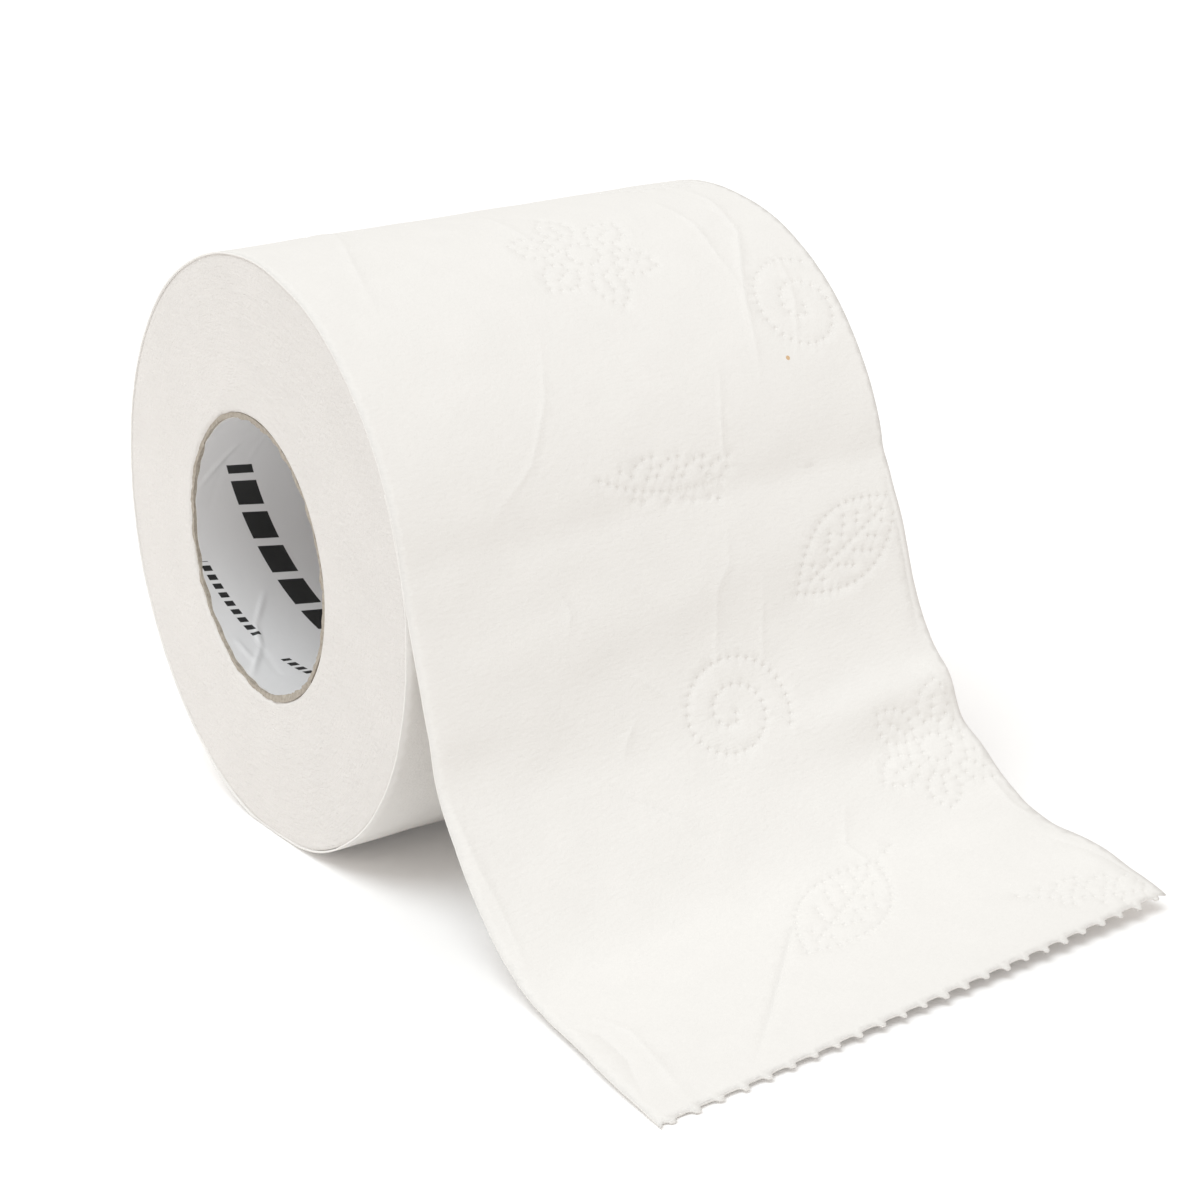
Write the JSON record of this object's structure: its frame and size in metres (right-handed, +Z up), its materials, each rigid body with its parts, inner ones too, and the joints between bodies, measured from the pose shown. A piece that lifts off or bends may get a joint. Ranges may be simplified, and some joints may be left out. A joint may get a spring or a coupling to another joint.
{
  "type": "toilet paper roll",
  "caption": "Soft roll of embossed tissue wound on a paperboard core, lying on its side, with its loose sheet draped down the front to a torn perforated edge.",
  "frame": {"origin": "middle of the core's bore, on its axis", "axes": "+X along the core's axis, -Y towards the loose end, +Z up from the surface that the roll lies on"},
  "size_m": [0.096, 0.1756, 0.1066],
  "materials": {
    "tissue": "soft matt embossed tissue",
    "board": "matt grey-brown recycled board",
    "liner": "semi-gloss coated white ply with plain black marks"
  },
  "bodies": {
    "root": {"paper_web": "tissue", "core_tube": "board", "core_liner": "liner"}
  },
  "joints": []
}
